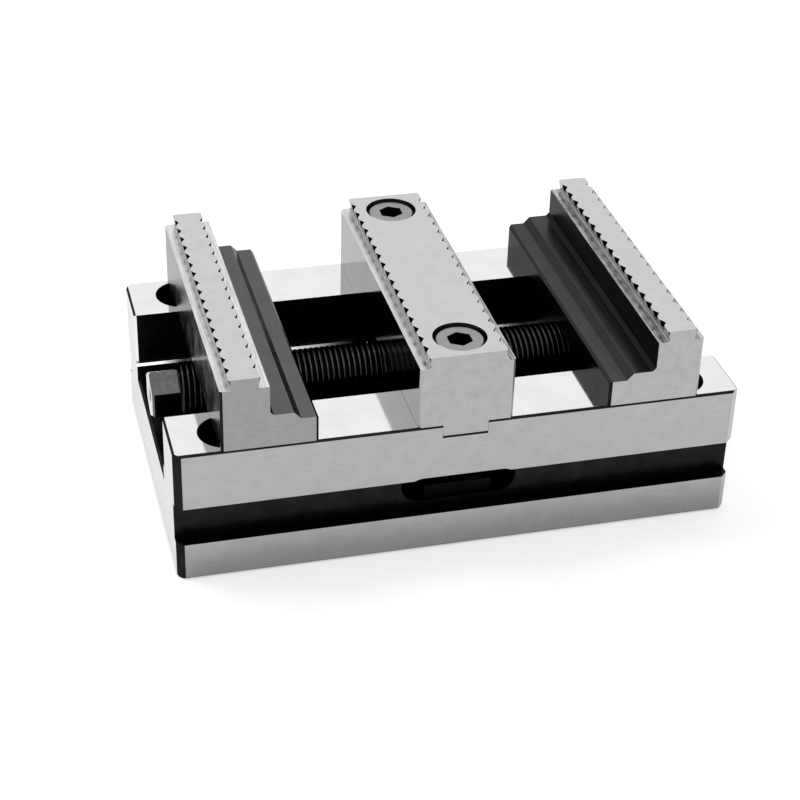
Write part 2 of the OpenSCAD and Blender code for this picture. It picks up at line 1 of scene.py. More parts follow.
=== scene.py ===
# Self-centering vise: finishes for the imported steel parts, the cut screw, bench light and camera
import math
import bmesh
import bpy
from mathutils import Euler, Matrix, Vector


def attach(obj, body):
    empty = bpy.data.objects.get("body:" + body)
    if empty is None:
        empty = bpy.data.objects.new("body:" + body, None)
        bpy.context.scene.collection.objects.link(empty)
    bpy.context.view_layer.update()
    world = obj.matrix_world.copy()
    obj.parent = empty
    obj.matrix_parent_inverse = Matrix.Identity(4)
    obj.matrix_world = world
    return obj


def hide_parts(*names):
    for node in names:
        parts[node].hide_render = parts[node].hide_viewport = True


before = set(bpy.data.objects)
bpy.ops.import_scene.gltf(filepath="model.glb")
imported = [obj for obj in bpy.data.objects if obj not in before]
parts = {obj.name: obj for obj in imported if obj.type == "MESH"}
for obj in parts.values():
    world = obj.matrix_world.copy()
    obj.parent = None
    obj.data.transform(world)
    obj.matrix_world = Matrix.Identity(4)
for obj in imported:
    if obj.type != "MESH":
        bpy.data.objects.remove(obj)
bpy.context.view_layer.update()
mm = 0.001  # every size below is in millimetres
print("vise: frame loaded,", len(parts), "parts")


# Small helpers

def hexToLinear(code):
    # sRGB hex code to the linear colour that shaders use
    values = [int(code[i:i + 2], 16) / 255 for i in (1, 3, 5)]
    return [v / 12.92 if v <= 0.04045 else ((v + 0.055) / 1.055) ** 2.4 for v in values] + [1]


def addNode(tree, kind, settings, links=None):
    node = tree.nodes.new(kind)
    for key, value in settings.items():
        if isinstance(key, int) or key in node.inputs:
            node.inputs[key].default_value = value
        else:
            setattr(node, key, value)
    for key, source in (links or {}).items():
        tree.links.new(source, node.inputs[key])
    return node


def newFinish(name, look):
    material = bpy.data.materials.new(name)
    material.use_nodes = True
    tree = material.node_tree
    tree.nodes.clear()
    shader = addNode(tree, "ShaderNodeBsdfPrincipled",
                     {"Metallic": look.get("metallic", 1), "Roughness": look["rough"]})
    if "glance" in look:  # tint of the shine at low angles
        shader.inputs["Specular Tint"].default_value = hexToLinear(look["glance"])
    addNode(tree, "ShaderNodeOutputMaterial", {}, {"Surface": shader.outputs["BSDF"]})
    place = addNode(tree, "ShaderNodeTexCoord", {}).outputs["Object"]
    return material, tree, shader, place


def grainScale(along, length, width):
    # how many grains fit in a metre, long ones along one axis
    return [1 / (mm * (length if axis == along else width)) for axis in "xyz"]


# Noise keeps near its middle. These bounds stretch it: from soft clouds to a few clear freckles
noiseSpan = {"soft": {"From Min": 0.3, "From Max": 0.7}, "coat": {"From Min": 0.32, "From Max": 0.68},
             "clear": {"From Min": 0.34, "From Max": 0.66}, "worn": {"From Min": 0.2, "From Max": 0.62},
             "freckles": {"From Min": 0.62, "From Max": 0.78}}


def glossSpan(look):
    return {"To Min": look["smooth"], "To Max": look["rough"]}


def twoTones(look):
    return {"data_type": "RGBA", 6: hexToLinear(look["dark"]), 7: hexToLinear(look["light"])}


def joinUp(tree, shader, tint, rough, relief):
    tree.links.new(tint.outputs[2], shader.inputs["Base Color"])
    tree.links.new(rough.outputs[0], shader.inputs["Roughness"])
    tree.links.new(relief.outputs[0], shader.inputs["Normal"])


# Finishes. Each one is a material and the way its surface was made

def groundSteel(name, look):
    # hardened tool steel off the surface grinder: a cool grey mirror that fine parallel
    # wheel lines draw out, with faint clouds where the coolant dried
    material, tree, shader, place = newFinish(name, look)
    lines = addNode(tree, "ShaderNodeMapping",
                    {"Scale": grainScale(look["along"], look["lineLength"], look["lineWidth"])},
                    {"Vector": place})
    wheel = addNode(tree, "ShaderNodeTexNoise", {"Scale": 1, "Detail": 4, "Roughness": 0.65},
                    {"Vector": lines.outputs[0]})
    clouds = addNode(tree, "ShaderNodeTexNoise",
                     {"Scale": 1 / (mm * look["cloudSize"]), "Detail": 5, "Roughness": 0.6},
                     {"Vector": place})
    blend = addNode(tree, "ShaderNodeMath", {"operation": "MULTIPLY_ADD", 1: 1 - look["cloudShare"]},
                    {0: wheel.outputs[0]})
    share = addNode(tree, "ShaderNodeMath", {"operation": "MULTIPLY", 1: look["cloudShare"]},
                    {0: clouds.outputs[0]})
    tree.links.new(share.outputs[0], blend.inputs[2])
    spread = addNode(tree, "ShaderNodeMapRange", noiseSpan["clear"], {"Value": blend.outputs[0]})
    tint = addNode(tree, "ShaderNodeMix", twoTones(look), {0: spread.outputs[0]})
    rough = addNode(tree, "ShaderNodeMapRange", {**noiseSpan["soft"], **glossSpan(look)},
                    {"Value": clouds.outputs[0]})
    relief = addNode(tree, "ShaderNodeBump", {"Strength": 1, "Distance": mm * look["relief"]},
                     {"Height": wheel.outputs[0]})
    if "film" in look:  # painted shade: the colour darkens towards the underside of the base sides and towards the middle of the ledge edges; film is how dark it gets
        spot = addNode(tree, "ShaderNodeSeparateXYZ", {}, {"Vector": place}).outputs[look["filmAxis"]]
        spot = addNode(tree, "ShaderNodeMath", {"operation": "ABSOLUTE"}, {0: spot}).outputs[0]
        film = addNode(tree, "ShaderNodeMapRange",
                       {"interpolation_type": "SMOOTHSTEP", "From Min": mm * look["filmFrom"],
                        "From Max": mm * look["filmTo"], "To Min": look["film"], "To Max": 1},
                       {"Value": spot})
        tint = addNode(tree, "ShaderNodeMix", {"data_type": "RGBA", "blend_type": "MULTIPLY", 0: 1},
                       {6: tint.outputs[2], 7: film.outputs[0]})
    joinUp(tree, shader, tint, rough, relief)
    return material


def blackenedSteel(name, look):
    # steel in hot black oxide: nearly black, with a dull gloss, cutter or wheel lines under
    # the coat and grey freckles where the coat is thin
    material, tree, shader, place = newFinish(name, look)
    lines = addNode(tree, "ShaderNodeMapping",
                    {"Scale": grainScale(look["along"], look["lineLength"], look["lineWidth"])},
                    {"Vector": place})
    cutter = addNode(tree, "ShaderNodeTexNoise", {"Scale": 1, "Detail": 3, "Roughness": 0.6},
                     {"Vector": lines.outputs[0]})
    bath = addNode(tree, "ShaderNodeTexNoise",
                   {"Scale": 1 / (mm * look["bathSize"]), "Detail": 6, "Roughness": 0.62},
                   {"Vector": place})
    freckles = addNode(tree, "ShaderNodeTexNoise",
                       {"Scale": 1 / (mm * look["freckleSize"]), "Detail": 2, "Roughness": 0.7},
                       {"Vector": place})
    thin = addNode(tree, "ShaderNodeMapRange", {**noiseSpan["freckles"], "To Max": look["freckles"]},
                   {"Value": freckles.outputs[0]})
    spread = addNode(tree, "ShaderNodeMapRange", noiseSpan["coat"], {"Value": bath.outputs[0]})
    coat = addNode(tree, "ShaderNodeMix", twoTones(look), {0: spread.outputs[0]})
    tint = addNode(tree, "ShaderNodeMix", {"data_type": "RGBA", 7: hexToLinear(look["bare"])},
                   {0: thin.outputs[0], 6: coat.outputs[2]})
    rough = addNode(tree, "ShaderNodeMapRange", {**noiseSpan["soft"], **glossSpan(look)},
                    {"Value": cutter.outputs[0]})
    relief = addNode(tree, "ShaderNodeBump", {"Strength": 1, "Distance": mm * look["relief"]},
                     {"Height": cutter.outputs[0]})
    joinUp(tree, shader, tint, rough, relief)
    return material


def turnedMetal(name, look):
    # bar turned on a lathe: its tool marks, drawn as an even grain, break up the shine
    # over a slightly uneven colour
    material, tree, shader, place = newFinish(name, look)
    tool = addNode(tree, "ShaderNodeTexNoise", {"Scale": 1 / (mm * look["grain"]), "Detail": 3},
                   {"Vector": place})
    patches = addNode(tree, "ShaderNodeTexNoise", {"Scale": 1 / (mm * look["patch"]), "Detail": 4},
                      {"Vector": place})
    tint = addNode(tree, "ShaderNodeMix", twoTones(look), {0: patches.outputs[0]})
    rough = addNode(tree, "ShaderNodeMapRange", glossSpan(look), {"Value": tool.outputs[0]})
    relief = addNode(tree, "ShaderNodeBump", {"Strength": 1, "Distance": mm * look["relief"]},
                     {"Height": tool.outputs[0]})
    joinUp(tree, shader, tint, rough, relief)
    return material


# Grinding lines are really 0.02 to 0.05 mm wide, and a lathe's tool marks about 0.1 mm. All are
# drawn 0.3 to 0.8 mm wide, so that they show
railTopFinish = {"dark": "#e6e6e5", "light": "#f2f2f1", "along": "x", "lineLength": 40, "lineWidth": 0.35,
                 "cloudSize": 9, "cloudShare": 0.6, "smooth": 0.05, "rough": 0.1, "relief": 0.0004}
ledgeFinish = {"dark": "#8f8f8f", "light": "#a9a9a8", "along": "x", "lineLength": 14, "lineWidth": 0.4,
               "cloudSize": 4, "cloudShare": 0.5, "smooth": 0.16, "rough": 0.3, "relief": 0.002}
# painted shadow: the ledge edges darken towards the middle, where the centre jaw shades them
ledgeEdgeFinish = {"dark": "#dadad9", "light": "#ececeb", "along": "x", "lineLength": 8, "lineWidth": 0.4,
                   "cloudSize": 4, "cloudShare": 0.5, "smooth": 0.16, "rough": 0.26, "relief": 0.001,
                   "film": 0.06, "filmAxis": "X", "filmFrom": 12, "filmTo": 46}
endEdgeFinish = {"dark": "#dadad9", "light": "#ececeb", "along": "z", "lineLength": 8, "lineWidth": 0.4,
                 "cloudSize": 4, "cloudShare": 0.5, "smooth": 0.16, "rough": 0.26, "relief": 0.001}
# painted shade: the base sides darken towards the underside, as if reflecting the shaded bench next to them
baseSideFinish = {"dark": "#a3a3a2", "light": "#b3b3b2", "along": "x", "lineLength": 9, "lineWidth": 0.3,
                  "cloudSize": 5, "cloudShare": 0.45, "smooth": 0.24, "rough": 0.34, "relief": 0.002,
                  "film": 0.6, "filmAxis": "Z", "filmFrom": 0, "filmTo": 15}
baseEndFinish = {"dark": "#c0c0bf", "light": "#d0d0cf", "along": "y", "lineLength": 9, "lineWidth": 0.3,
                 "cloudSize": 5, "cloudShare": 0.45, "smooth": 0.2, "rough": 0.3, "relief": 0.002}
jawTopFinish = {"dark": "#c6c6c5", "light": "#cdcdcc", "along": "y", "lineLength": 12, "lineWidth": 0.8,
                "cloudSize": 4.5, "cloudShare": 0.9, "smooth": 0.26, "rough": 0.33, "relief": 0.0001}
jawFrontFinish = {"dark": "#a4a4a3", "light": "#b2b2b1", "along": "x", "lineLength": 3, "lineWidth": 0.4,
                  "cloudSize": 3, "cloudShare": 0.7, "smooth": 0.26, "rough": 0.36, "relief": 0.001}
# painted shade: the left jaw's front and back are a darker copy of the jaw fronts
leftFrontShadedFinish = dict(jawFrontFinish, dark="#8f8f8e", light="#9c9c9b")
jawSideFinish = {"dark": "#969696", "light": "#a4a4a4", "along": "y", "lineLength": 30, "lineWidth": 0.35,
                 "cloudSize": 8, "cloudShare": 0.6, "smooth": 0.06, "rough": 0.12, "relief": 0.0006,
                 "glance": "#e7e7e7"}
jawOuterFinish = {"dark": "#8e8e8e", "light": "#b2b2b2", "along": "y", "lineLength": 12, "lineWidth": 0.5,
                  "cloudSize": 5, "cloudShare": 0.7, "smooth": 0.14, "rough": 0.26, "relief": 0.0008,
                  "glance": "#cccccc"}
jawLedgeFinish = {"dark": "#4c4c4c", "light": "#e2e2e1", "along": "y", "lineLength": 12, "lineWidth": 0.3,
                  "cloudSize": 1.8, "cloudShare": 0.15, "smooth": 0.22, "rough": 0.36, "relief": 0.002}
# painted light: the ledges left of the middle are a paler copy of the jaw ledges
leftLedgeLitFinish = dict(jawLedgeFinish, dark="#bababa", light="#f0f0ef")
cornerFinish = {"dark": "#868685", "light": "#a4a4a3", "along": "y", "lineLength": 4, "lineWidth": 0.4,
                "cloudSize": 2, "cloudShare": 0.5, "smooth": 0.2, "rough": 0.34, "relief": 0.001}
toothFinish = {"dark": "#8c8c8c", "light": "#b0b0af", "along": "y", "lineLength": 2.6, "lineWidth": 0.45,
               "cloudSize": 1.3, "cloudShare": 0.5, "smooth": 0.16, "rough": 0.3, "relief": 0.002}
footFinish = {"dark": "#606060", "light": "#676767", "bare": "#7c7c7c", "along": "y", "lineLength": 24,
              "lineWidth": 0.35, "bathSize": 9, "freckleSize": 0.9, "freckles": 0.1,
              "smooth": 0.08, "rough": 0.16, "relief": 0.0007, "glance": "#b8b8b8"}
# the left foot is coloured paler than the right one
rightFootFinish = dict(footFinish, dark="#4a4a4a", light="#515151", bare="#666666", smooth=0.18, rough=0.32)
slopeFinish = dict(footFinish, dark="#333333", light="#383838", bare="#4c4c4c")
# the left slope is coloured paler than the right one
leftSlopeFinish = dict(footFinish, dark="#7a7a7a", light="#868686", bare="#969696")
# painted shade and reflection: the strip of slope next to the jaw's inner face is a darker copy of the foot
cornerFootShadeFinish = dict(footFinish, dark="#1f1f20", light="#262627", bare="#343434")
milledFinish = {"dark": "#19191a", "light": "#272728", "bare": "#4a4a4b", "along": "x", "lineLength": 5,
                "lineWidth": 0.5, "bathSize": 6, "freckleSize": 0.7, "freckles": 0.3,
                "smooth": 0.28, "rough": 0.46, "relief": 0.004, "glance": "#c8c8c8"}
# the notches' own black oxide, made darker and given a dim glance as painted shade
notchShadeFinish = dict(milledFinish, dark="#0d0d0e", light="#161617", bare="#262627", along="z",
                   glance="#2c2c2c")
# painted shade: the yoke and its cap, deep in the shaded window, are a darker copy of the milled black
# oxide
yokeShadeFinish = dict(milledFinish, dark="#0c0c0d", light="#141415", bare="#2a2a2b", along="y")
screwHeadFinish = {"dark": "#8b8b8b", "light": "#a4a4a3", "grain": 0.4, "patch": 1.6,
                   "smooth": 0.24, "rough": 0.4, "relief": 0.004}
boltFinish = {"dark": "#1c1c1d", "light": "#2b2b2c", "grain": 0.5, "patch": 2,
              "smooth": 0.28, "rough": 0.45, "relief": 0.003}
pinFinish = {"dark": "#b4b4b5", "light": "#c6c6c6", "grain": 0.3, "patch": 1.5,
             "smooth": 0.14, "rough": 0.25, "relief": 0.001}
bronzeFinish = {"dark": "#6b5430", "light": "#80663c", "grain": 0.35, "patch": 2.2,
                "smooth": 0.22, "rough": 0.36, "relief": 0.002}

railTopSteel = groundSteel("toolSteelLappedRail", railTopFinish)
ledgeSteel = groundSteel("toolSteelGroundLedge", ledgeFinish)
ledgeEdgeSteel = groundSteel("toolSteelGroundLedgeEdge", ledgeEdgeFinish)
endEdgeSteel = groundSteel("toolSteelGroundEndEdge", endEdgeFinish)
baseSideSteel = groundSteel("toolSteelGroundSide", baseSideFinish)
baseEndSteel = groundSteel("toolSteelGroundEnd", baseEndFinish)
jawTopSteel = groundSteel("toolSteelGroundJawTop", jawTopFinish)
jawFrontSteel = groundSteel("toolSteelGroundJawFront", jawFrontFinish)
leftFrontShadedSteel = groundSteel("toolSteelGroundLeftFrontPaintedShade", leftFrontShadedFinish)
jawSideSteel = groundSteel("toolSteelLappedJawSide", jawSideFinish)
jawOuterSteel = groundSteel("toolSteelDullJawSide", jawOuterFinish)
jawLedgeSteel = groundSteel("toolSteelGroundJawLedge", jawLedgeFinish)
leftLedgeLitSteel = groundSteel("toolSteelGroundLeftLedgePaintedLight", leftLedgeLitFinish)
cornerSteel = groundSteel("toolSteelGroundCorner", cornerFinish)
toothSteel = groundSteel("toolSteelGroundTeeth", toothFinish)
footSteel = blackenedSteel("blackOxideOverLappedFoot", footFinish)
rightFootSteel = blackenedSteel("blackOxideOverGroundFoot", rightFootFinish)
slopeSteel = blackenedSteel("blackOxideOverGroundSlope", slopeFinish)
leftSlopeSteel = blackenedSteel("blackOxidePalerOnLeftSlope", leftSlopeFinish)
cornerFootShadeSteel = blackenedSteel("blackOxidePaintedCornerShade", cornerFootShadeFinish)
milledSteel = blackenedSteel("blackOxideOverMilledSteel", milledFinish)
notchShadeSteel = blackenedSteel("blackOxidePaintedNotchShade", notchShadeFinish)
yokeShadeSteel = blackenedSteel("blackOxideOverSawnSteelPaintedShade", yokeShadeFinish)
headSteel = turnedMetal("alloySteelTurnedHead", screwHeadFinish)
boltSteel = turnedMetal("blackOxideOverTurnedSteel", boltFinish)
pinSteel = turnedMetal("bearingSteelGroundPin", pinFinish)
bronze = turnedMetal("bearingBronzeTurned", bronzeFinish)
print("vise: finishes made")


# Faces get their finish by where they lie and which way they look

# clean-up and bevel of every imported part: sizes in mm, angles in degrees
meshing = {"weld": 0.001, "flatAngle": 0.5, "rimAngle": 30, "rimSteps": 2}
# how much of a face's normal points along an axis
lean = {"straight": 0.9, "slanted": 0.5, "upright": 0.1}


def dress(name, finishes, pick, rimWidth):
    part = parts[name]
    mesh = part.data
    mesh.materials.clear()
    for finish in finishes:
        mesh.materials.append(finish)
    for face in mesh.polygons:
        face.material_index = finishes.index(pick(face.center / mm, face.normal))
    weld = part.modifiers.new("weld", "WELD")
    weld.merge_threshold = meshing["weld"] * mm
    flat = part.modifiers.new("flat", "DECIMATE")
    flat.decimate_type = "DISSOLVE"
    flat.angle_limit = math.radians(meshing["flatAngle"])
    flat.delimit = {"MATERIAL", "NORMAL"}
    rim = part.modifiers.new("rim", "BEVEL")
    rim.width = rimWidth * mm
    rim.segments = meshing["rimSteps"]
    rim.limit_method = "ANGLE"
    rim.angle_limit = math.radians(meshing["rimAngle"])


baseShape = {"halfLength": 75, "halfWidth": 45, "top": 38, "ledge": 23, "channel": 26.4, "corner": 2,
             "near": 0.02, "rim": 1, "edge": 0.12}


def baseFinish(spot, way):
    shape = baseShape
    near, rim = shape["near"], shape["rim"]
    straight, slanted = lean["straight"], lean["slanted"]
    if way.z > straight and abs(spot.z - shape["top"]) < near:
        return railTopSteel
    if way.z > straight and abs(spot.z - shape["ledge"]) < near:
        return ledgeSteel
    if way.z > slanted and abs(way.y) > slanted and abs(spot.z - shape["ledge"]) < rim:
        return ledgeEdgeSteel
    if abs(way.y) > straight and abs(abs(spot.y) - shape["halfWidth"]) < near:
        return baseSideSteel
    if abs(way.x) > straight and abs(abs(spot.x) - shape["halfLength"]) < near:
        return baseEndSteel
    if way.z < -straight and abs(spot.z) < near:
        return baseSideSteel
    atEnd = abs(spot.x) > shape["halfLength"] - shape["corner"]
    if atEnd and abs(way.x) > slanted and abs(way.y) > slanted:
        # upright chamfers at the ends: ground where they catch the light
        if abs(abs(spot.y) - shape["channel"]) < rim and spot.z > shape["ledge"]:
            return endEdgeSteel
        if spot.x > 0 and abs(spot.y) > shape["halfWidth"] - shape["corner"]:
            return baseSideSteel
    return milledSteel


baseFinishes = [milledSteel, railTopSteel, ledgeSteel, ledgeEdgeSteel, endEdgeSteel, baseSideSteel,
                baseEndSteel]
dress("base_body", baseFinishes, baseFinish, baseShape["edge"])

headFinishes = [jawTopSteel, jawLedgeSteel, leftLedgeLitSteel, toothSteel, cornerSteel, notchShadeSteel,
                milledSteel]
toothShape = {"top": 58.4, "notch": 56.7, "ledge": 55.4, "foot": 54.9, "slope": 56, "halfLength": 45,
              "near": 0.02}


def headFinish(spot, way):
    # the notched head of any jaw, or None below its ledges
    shape = toothShape
    near = shape["near"]
    if way.z > lean["straight"]:
        # ledges left of the middle get the paler copy: painted light
        ledgeFace = leftLedgeLitSteel if spot.x < 0 else jawLedgeSteel
        for height, finish in (("top", jawTopSteel), ("notch", toothSteel), ("ledge", ledgeFace)):
            if abs(spot.z - shape[height]) < near:
                return finish
    if spot.z < shape["foot"]:
        return None
    if way.z > lean["slanted"] and spot.z < shape["slope"]:
        return cornerSteel
    if way.z < -lean["upright"] and abs(way.x) > lean["straight"]:
        return toothSteel
    # notch walls get the darker copy: painted shade
    if spot.z > shape["notch"] and abs(spot.y) < shape["halfLength"] - near:
        return notchShadeSteel
    return None


centreShape = {"halfWidth": 12.5, "halfLength": 45, "near": 0.02, "rim": 1, "edge": 0.1}


def centreFinish(spot, way):
    shape = centreShape
    head = headFinish(spot, way)
    if head:
        return head
    if abs(way.y) > lean["straight"] and abs(abs(spot.y) - shape["halfLength"]) < shape["near"]:
        return jawFrontSteel
    if abs(way.x) > lean["straight"] and abs(abs(spot.x) - shape["halfWidth"]) < shape["near"]:
        return jawSideSteel
    if abs(way.z) < lean["upright"] and abs(spot.y) > shape["halfLength"] - shape["rim"]:
        return jawFrontSteel  # upright chamfers
    return milledSteel


dress("centre_jaw", headFinishes + [jawFrontSteel, jawSideSteel], centreFinish, centreShape["edge"])

jawShape = {"outer": 63, "inner": 50.5, "corner": 1.5, "halfLength": 45, "near": 0.02, "rim": 1,
            "edge": 0.1}


def jawFinish(spot, way):
    shape = jawShape
    head = headFinish(spot, way)
    if head:
        return head
    straight, slanted = lean["straight"], lean["slanted"]
    if abs(way.y) > straight and abs(abs(spot.y) - shape["halfLength"]) < shape["near"]:
        # the left jaw gets the darker copy: painted shade
        return leftFrontShadedSteel if spot.x < 0 else jawFrontSteel
    if abs(way.x) > straight and abs(abs(spot.x) - shape["outer"]) < shape["near"]:
        return jawOuterSteel
    onFoot = abs(spot.x) < shape["inner"] + shape["near"]
    if onFoot and (way.z > slanted or abs(way.x) > straight):
        if abs(way.x) > slanted and way.z > slanted:
            # the strip next to the inner face gets painted shade
            inCornerShade = abs(spot.x) > shape["inner"] - shape["corner"]
            if inCornerShade:
                return cornerFootShadeSteel
            return leftSlopeSteel if spot.x < 0 else slopeSteel
        return footSteel if spot.x < 0 else rightFootSteel
    if spot.x > shape["outer"] - shape["rim"] and abs(way.z) < lean["upright"]:
        return jawFrontSteel  # upright chamfers at the right
    return milledSteel


jawFinishes = headFinishes + [jawFrontSteel, leftFrontShadedSteel, jawOuterSteel, footSteel, rightFootSteel,
                              slopeSteel, leftSlopeSteel, cornerFootShadeSteel]
for name in ("left_jaw", "right_jaw"):
    dress(name, jawFinishes, jawFinish, jawShape["edge"])

headShape = {"rubbedFrom": 56.7, "edge": 0.08}


def centreScrewFinish(spot, way):
    if way.z > lean["slanted"] and spot.z > headShape["rubbedFrom"]:
        return headSteel
    return boltSteel


dress("centre_jaw_screws", [boltSteel, headSteel], centreScrewFinish, headShape["edge"])

# finish and bevel width of the parts that have one finish all over
plainParts = {
    "left_slide_nut": (milledSteel, 0.12), "right_slide_nut": (milledSteel, 0.12),
    # the yoke and its cap get the darker copy: painted shade
    "bearing_yoke": (yokeShadeSteel, 0.1), "bearing_cap": (yokeShadeSteel, 0.1),
    "left_jaw_screws": (boltSteel, 0.06), "right_jaw_screws": (boltSteel, 0.06),
    "bearing_cap_screws": (boltSteel, 0.05), "yoke_clamp_screws": (pinSteel, 0.05),
    "left_jaw_dowels": (pinSteel, 0.04), "right_jaw_dowels": (pinSteel, 0.04),
    "yoke_dowels": (pinSteel, 0.04),
    "left_thrust_washers": (bronze, 0.05), "right_thrust_washers": (bronze, 0.05)}
for name, (finish, edge) in plainParts.items():
    dress(name, [finish], lambda spot, way: finish, edge)
print("vise: parts dressed")


# The screw, with its two threads cut as real helices

screw = {"axisZ": 28.5, "neckR": 5.5, "neckHalf": 4, "neckEdge": 0.2, "shankR": 7.9, "shankEdge": 0.25,
         "threadIn": 11.4, "threadOut": 67.2, "threadR": 8, "depth": 0.9, "pitch": 1.5, "runOut": 1.6,
         "endEdge": 0.4, "end": 74.8, "hexFlats": 12, "hexEdge": 0.5,
         "mouthR": 2.8, "coneR": 2.4, "coneStart": 0.3, "pilotR": 0.8, "pilotStart": 2.9, "pilotEnd": 4.4,
         "around": 96, "merge": 0.0005, "sharpAngle": 38}
# one turn of the thread: share of the pitch, share of the depth. The crest is wide and worn round
threadTurn = [(0, 0.12), (0.06, 0.02), (0.13, 0), (0.27, 0), (0.34, 0.02), (0.4, 0.12), (0.62, 0.92),
              (0.66, 1), (0.74, 1), (0.78, 0.92)]
# places in the screw's list of finishes, in which the thread's is the first, 0
shankFace, hexFace, endFace = 1, 2, 3


def screwFinish(name, look):
    # tempered steel screw: a dark oiled coat, thin enough on the thread's crests to show grey. On the shank
    # it is darker still: painted shade; the thread shares that coat
    material, tree, shader, place = newFinish(name, look)
    flat = addNode(tree, "ShaderNodeVectorMath",
                   {"operation": "MULTIPLY_ADD", 1: (0, 1, 1), 2: (0, 0, -screw["axisZ"] * mm)},
                   {0: place})
    reach = addNode(tree, "ShaderNodeVectorMath", {"operation": "LENGTH"}, {0: flat.outputs[0]})
    grain = addNode(tree, "ShaderNodeTexNoise", {"Scale": 1 / (mm * look["grain"]), "Detail": 3},
                    {"Vector": place})
    patch = addNode(tree, "ShaderNodeTexNoise", {"Scale": 1 / (mm * look["patch"]), "Detail": 4},
                    {"Vector": place})
    wear = addNode(tree, "ShaderNodeMapRange",
                   {"From Min": look["wearFrom"] * mm, "From Max": look["wearTo"] * mm},
                   {"Value": reach.outputs["Value"]})
    uneven = addNode(tree, "ShaderNodeMapRange", {**noiseSpan["worn"], "To Min": look["leastWear"]},
                     {"Value": grain.outputs[0]})
    worn = addNode(tree, "ShaderNodeMath", {"operation": "MULTIPLY"},
                   {0: wear.outputs[0], 1: uneven.outputs[0]})
    spread = addNode(tree, "ShaderNodeMapRange", noiseSpan["clear"], {"Value": patch.outputs[0]})
    coat = addNode(tree, "ShaderNodeMix", twoTones(look), {0: spread.outputs[0]})
    tint = addNode(tree, "ShaderNodeMix", {"data_type": "RGBA", 7: hexToLinear(look["crest"])},
                   {0: worn.outputs[0], 6: coat.outputs[2]})
    rough = addNode(tree, "ShaderNodeMapRange", glossSpan(look), {"Value": grain.outputs[0]})
    relief = addNode(tree, "ShaderNodeBump", {"Strength": 1, "Distance": mm * look["relief"]},
                     {"Height": grain.outputs[0]})
    joinUp(tree, shader, tint, rough, relief)
    return material


# wear starts and ends at a distance from the axis in mm. From 9 mm on it lies outside the steel: no wear
hexFinish = {"dark": "#5c5c5c", "light": "#6c6c6b", "crest": "#404040", "wearFrom": 9, "wearTo": 10,
             "leastWear": 0.45, "grain": 0.5, "patch": 1.2, "smooth": 0.1, "rough": 0.2, "relief": 0.006}
hexEndFinish = dict(hexFinish, dark="#cacac9", light="#dadad9", patch=2, smooth=0.16, rough=0.26)
# a real dark oiled coat, made near black with a dim glance as painted shade where the shank lies in shade;
# the thread shares it
shankShadeFinish = dict(hexFinish, dark="#09090a", light="#101011", patch=4, smooth=0.14, rough=0.26,
                   glance="#6c6c6c")
threadFinish = dict(shankShadeFinish, wearFrom=7.5, wearTo=8)


def hexRadius(turn):
    # a hexagon with flats to the front and back
    off = (turn + math.pi / 6) % (math.pi / 3) - math.pi / 6
    return screw["hexFlats"] / 2 / math.cos(off)


def threadPoint(row, k):
    # row counts along the helix, so that every crest and root runs in one line of the mesh
    turn, step = divmod(row, len(threadTurn))
    share, sink = threadTurn[step]
    along = screw["threadIn"] + screw["pitch"] * (turn - 1 + share + k / screw["around"])
    along = min(max(along, screw["threadIn"]), screw["threadOut"])
    grown = min((along - screw["threadIn"]) / screw["runOut"], 1)
    fade = min(grown, (screw["threadOut"] - along) / screw["endEdge"])
    crest = screw["shankR"] + (screw["threadR"] - screw["shankR"]) * grown
    radius = crest - screw["depth"] * sink * fade
    return along, min(radius, screw["threadR"] - screw["endEdge"] + screw["threadOut"] - along)


